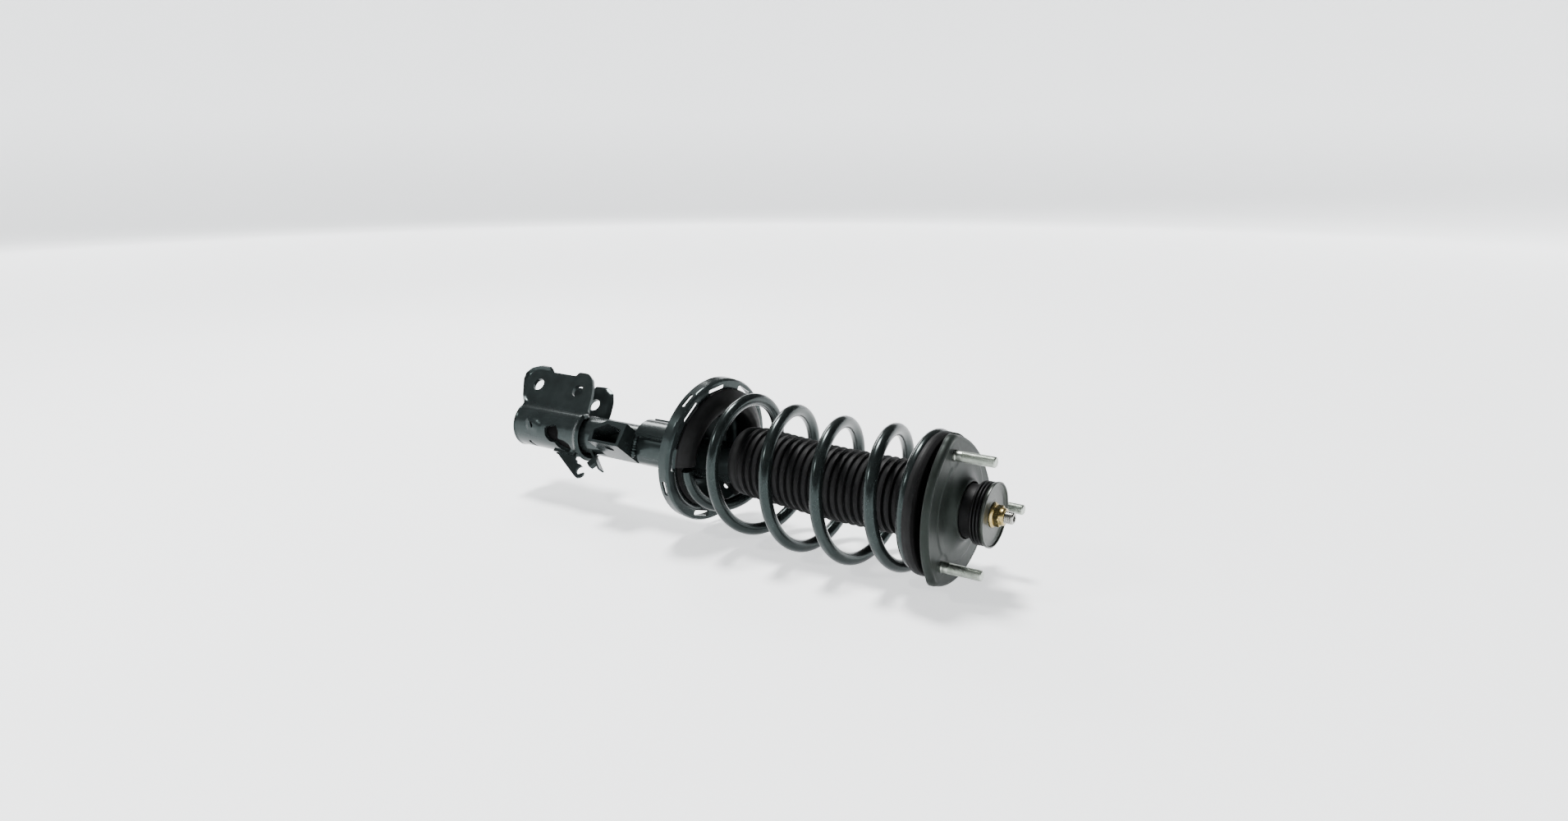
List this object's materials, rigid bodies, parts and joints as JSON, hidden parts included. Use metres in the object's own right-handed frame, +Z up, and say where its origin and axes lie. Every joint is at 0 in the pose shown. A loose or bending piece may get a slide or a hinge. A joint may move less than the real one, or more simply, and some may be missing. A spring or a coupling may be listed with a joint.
{
  "type": "front strut assembly",
  "caption": "Complete front MacPherson strut: damper with knuckle bracket, bowed coil spring between seats, pleated dust boot, bearing and studded top mount.",
  "frame": {"origin": "on the strut's axis, in the face of the top mount plate where the studs stand", "axes": "+X along the strut's axis from the knuckle bracket to the top mount's studs, +Z up as the strut lies on its side"},
  "size_m": [0.7315, 0.1823, 0.1927],
  "materials": {
    "gloss_black_paint": "gloss black paint on steel",
    "satin_black_paint": "satin black coating on pressed steel",
    "machined_steel": "bare turned steel",
    "ground_chrome": "hard chrome, ground and polished",
    "bright_zinc": "bright zinc plate",
    "yellow_zinc": "yellow passivated zinc plate",
    "grey_plate": "dull grey plated steel",
    "black_rubber": "matt moulded rubber",
    "bump_foam": "microcellular urethane",
    "bearing_steel": "polished bearing steel",
    "black_nylon": "moulded nylon",
    "bush_coating": "low-friction bush lining"
  },
  "bodies": {
    "housing": {"strut_tube": "gloss_black_paint", "bottom_cap": "gloss_black_paint", "inner_cylinder": "machined_steel", "base_valve": "machined_steel", "rod_guide": "machined_steel", "guide_bush": "bush_coating", "oil_seal": "black_rubber", "tube_cap": "gloss_black_paint", "knuckle_bracket": "gloss_black_paint", "hose_bracket": "gloss_black_paint", "sensor_lead_clip": "gloss_black_paint", "link_bracket": "gloss_black_paint", "seat_support": "gloss_black_paint", "weld_beads": "gloss_black_paint", "lower_spring_seat": "gloss_black_paint", "lower_isolator": "black_rubber", "coil_spring": "gloss_black_paint", "dust_boot": "black_rubber"},
    "upper_seat": {"upper_spring_seat": "satin_black_paint", "upper_isolator": "black_rubber", "bearing_lower_race": "bearing_steel"},
    "bearing_ring": {"bearing_cage": "black_nylon", "bearing_balls": "bearing_steel"},
    "rod_mount": {"piston_rod": "ground_chrome", "piston": "machined_steel", "piston_ring": "bush_coating", "piston_shims": "machined_steel", "piston_nut": "machined_steel", "rebound_stop": "machined_steel", "bump_stop": "bump_foam", "mount_plate": "satin_black_paint", "mount_studs": "bright_zinc", "mount_rubber": "black_rubber", "mount_sleeve": "machined_steel", "rebound_washer": "grey_plate", "top_nut": "yellow_zinc", "bearing_upper_race": "bearing_steel"}
  },
  "joints": [
    {"name": "strut_stroke", "type": "slide", "parent": "housing", "child": "upper_seat", "axis": [-1, 0, 0], "range_m": [0, 0.15], "stiffness_N_per_m": 25000, "springref_m": -0.02, "deforming": ["coil_spring", "dust_boot"]},
    {"name": "steer_swivel", "type": "hinge", "parent": "upper_seat", "child": "rod_mount", "pos_m": [0, 0, 0], "axis": [1, 0, 0], "continuous": true},
    {"name": "bearing_turn", "type": "hinge", "parent": "upper_seat", "child": "bearing_ring", "pos_m": [-0.0107, 0, 0], "axis": [1, 0, 0], "continuous": true}
  ],
  "couplings": [
    {"joint": "bearing_turn", "follows": "steer_swivel", "ratio": 0.5}
  ]
}
